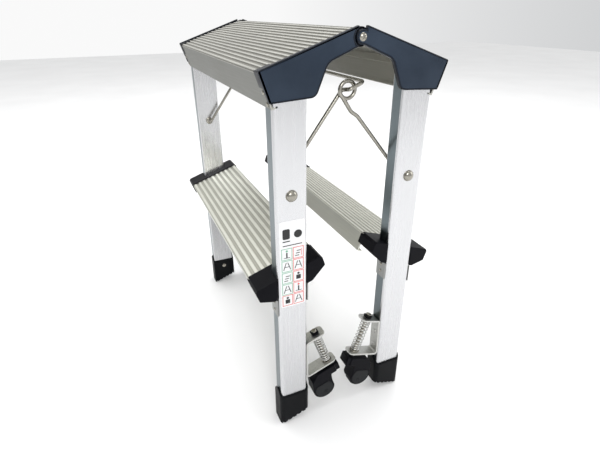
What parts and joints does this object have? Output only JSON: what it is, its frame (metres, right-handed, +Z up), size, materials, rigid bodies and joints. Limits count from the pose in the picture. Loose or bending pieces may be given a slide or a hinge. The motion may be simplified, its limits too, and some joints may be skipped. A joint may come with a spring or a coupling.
{
  "type": "step ladder",
  "caption": "Double-sided folding step ladder with a hinged ribbed platform, a step on each side, wire stays and sprung castors, shown folded.",
  "frame": {"origin": "on the floor, under the middle of the hinge axis", "axes": "+X from the left frame to the right frame, +Y along the hinge axis to the rear, +Z up; drawn folded"},
  "size_m": [0.2462, 0.4248, 0.5153],
  "materials": {
    "aluminium": "satin extruded aluminium with long fine grain",
    "cheek_plastic": "slate-blue moulded plastic, fine texture",
    "black_plastic": "black moulded plastic",
    "foot_plastic": "black moulded foot with a grooved sole",
    "wheel_rubber": "black castor wheel",
    "zinc": "bright zinc plate",
    "steel": "nickel-plated wire and rivets",
    "label": "white adhesive label with plain symbols and no text"
  },
  "bodies": {
    "left_frame": {"leg_left_front": "aluminium", "leg_left_rear": "aluminium", "tread_left": "aluminium", "cheek_left_front": "cheek_plastic", "cheek_left_rear": "cheek_plastic", "hinge_screw_front": "zinc", "hinge_screw_rear": "zinc", "step_left": "aluminium", "step_cap_left_front": "black_plastic", "step_cap_left_rear": "black_plastic", "foot_left_front": "foot_plastic", "foot_left_rear": "foot_plastic", "foot_screws_left": "zinc", "rivets_left": "steel", "bracket_left_front": "zinc", "bracket_left_rear": "zinc", "spring_left_front": "zinc", "spring_left_rear": "zinc", "label": "label"},
    "right_frame": {"leg_right_front": "aluminium", "leg_right_rear": "aluminium", "tread_right": "aluminium", "cheek_right_front": "cheek_plastic", "cheek_right_rear": "cheek_plastic", "step_right": "aluminium", "step_cap_right_front": "black_plastic", "step_cap_right_rear": "black_plastic", "foot_right_front": "foot_plastic", "foot_right_rear": "foot_plastic", "foot_screws_right": "zinc", "rivets_right": "steel", "bracket_right_front": "zinc", "bracket_right_rear": "zinc", "spring_right_front": "zinc", "spring_right_rear": "zinc"},
    "bail": {"stay_bail": "steel"},
    "link_front": {"stay_link_front": "steel"},
    "link_rear": {"stay_link_rear": "steel"},
    "stem_left_front": {"stem_left_front": "zinc"},
    "hood_left_front": {"hood_left_front": "black_plastic"},
    "wheel_left_front": {"wheel_left_front": "wheel_rubber"},
    "stem_left_rear": {"stem_left_rear": "zinc"},
    "hood_left_rear": {"hood_left_rear": "black_plastic"},
    "wheel_left_rear": {"wheel_left_rear": "wheel_rubber"},
    "stem_right_front": {"stem_right_front": "zinc"},
    "hood_right_front": {"hood_right_front": "black_plastic"},
    "wheel_right_front": {"wheel_right_front": "wheel_rubber"},
    "stem_right_rear": {"stem_right_rear": "zinc"},
    "hood_right_rear": {"hood_right_rear": "black_plastic"},
    "wheel_right_rear": {"wheel_right_rear": "wheel_rubber"}
  },
  "joints": [
    {"name": "fold", "type": "hinge", "parent": "left_frame", "child": "right_frame", "pos_m": [0, 0, 0.505], "axis": [0, -1, 0], "range_deg": [0, 38]},
    {"name": "bail_pivot", "type": "hinge", "parent": "left_frame", "child": "bail", "pos_m": [-0.0765, 0, 0.349], "axis": [0, 1, 0], "range_deg": [0, 17]},
    {"name": "link_front_pivot", "type": "hinge", "parent": "right_frame", "child": "link_front", "pos_m": [0.0765, -0.18, 0.349], "axis": [0, -1, 0], "range_deg": [0, 17]},
    {"name": "link_rear_pivot", "type": "hinge", "parent": "right_frame", "child": "link_rear", "pos_m": [0.0765, 0.18, 0.349], "axis": [0, -1, 0], "range_deg": [0, 17]},
    {"name": "castor_spring_left_front", "type": "slide", "parent": "left_frame", "child": "stem_left_front", "axis": [-0.3256, 0, 0.9455], "range_m": [0, 0.005], "stiffness_N_per_m": 3000, "springref_m": -0.005, "deforming": ["spring_left_front"]},
    {"name": "castor_swivel_left_front", "type": "hinge", "parent": "stem_left_front", "child": "hood_left_front", "pos_m": [-0.0293, -0.1955, 0.1024], "axis": [-0.3256, 0, 0.9455], "range_deg": [-55, 55]},
    {"name": "wheel_spin_left_front", "type": "hinge", "parent": "hood_left_front", "child": "wheel_left_front", "pos_m": [-0.02646, -0.1955, 0.03273], "axis": [0, 1, 0], "continuous": true},
    {"name": "castor_spring_left_rear", "type": "slide", "parent": "left_frame", "child": "stem_left_rear", "axis": [-0.3256, 0, 0.9455], "range_m": [0, 0.005], "stiffness_N_per_m": 3000, "springref_m": -0.005, "deforming": ["spring_left_rear"]},
    {"name": "castor_swivel_left_rear", "type": "hinge", "parent": "stem_left_rear", "child": "hood_left_rear", "pos_m": [-0.0293, 0.1955, 0.1024], "axis": [-0.3256, 0, 0.9455], "range_deg": [-55, 55]},
    {"name": "wheel_spin_left_rear", "type": "hinge", "parent": "hood_left_rear", "child": "wheel_left_rear", "pos_m": [-0.02646, 0.1955, 0.03273], "axis": [0, 1, 0], "continuous": true},
    {"name": "castor_spring_right_front", "type": "slide", "parent": "right_frame", "child": "stem_right_front", "axis": [0.3256, 0, 0.9455], "range_m": [0, 0.005], "stiffness_N_per_m": 3000, "springref_m": -0.005, "deforming": ["spring_right_front"]},
    {"name": "castor_swivel_right_front", "type": "hinge", "parent": "stem_right_front", "child": "hood_right_front", "pos_m": [0.0293, -0.1955, 0.1024], "axis": [0.3256, 0, 0.9455], "range_deg": [-55, 55]},
    {"name": "wheel_spin_right_front", "type": "hinge", "parent": "hood_right_front", "child": "wheel_right_front", "pos_m": [0.02646, -0.1955, 0.03273], "axis": [0, 1, 0], "continuous": true},
    {"name": "castor_spring_right_rear", "type": "slide", "parent": "right_frame", "child": "stem_right_rear", "axis": [0.3256, 0, 0.9455], "range_m": [0, 0.005], "stiffness_N_per_m": 3000, "springref_m": -0.005, "deforming": ["spring_right_rear"]},
    {"name": "castor_swivel_right_rear", "type": "hinge", "parent": "stem_right_rear", "child": "hood_right_rear", "pos_m": [0.0293, 0.1955, 0.1024], "axis": [0.3256, 0, 0.9455], "range_deg": [-55, 55]},
    {"name": "wheel_spin_right_rear", "type": "hinge", "parent": "hood_right_rear", "child": "wheel_right_rear", "pos_m": [0.02646, 0.1955, 0.03273], "axis": [0, 1, 0], "continuous": true}
  ],
  "couplings": [
    {"joint": "bail_pivot", "follows": "fold", "ratio": 0.445},
    {"joint": "link_front_pivot", "follows": "fold", "ratio": 0.445},
    {"joint": "link_rear_pivot", "follows": "fold", "ratio": 0.445}
  ]
}
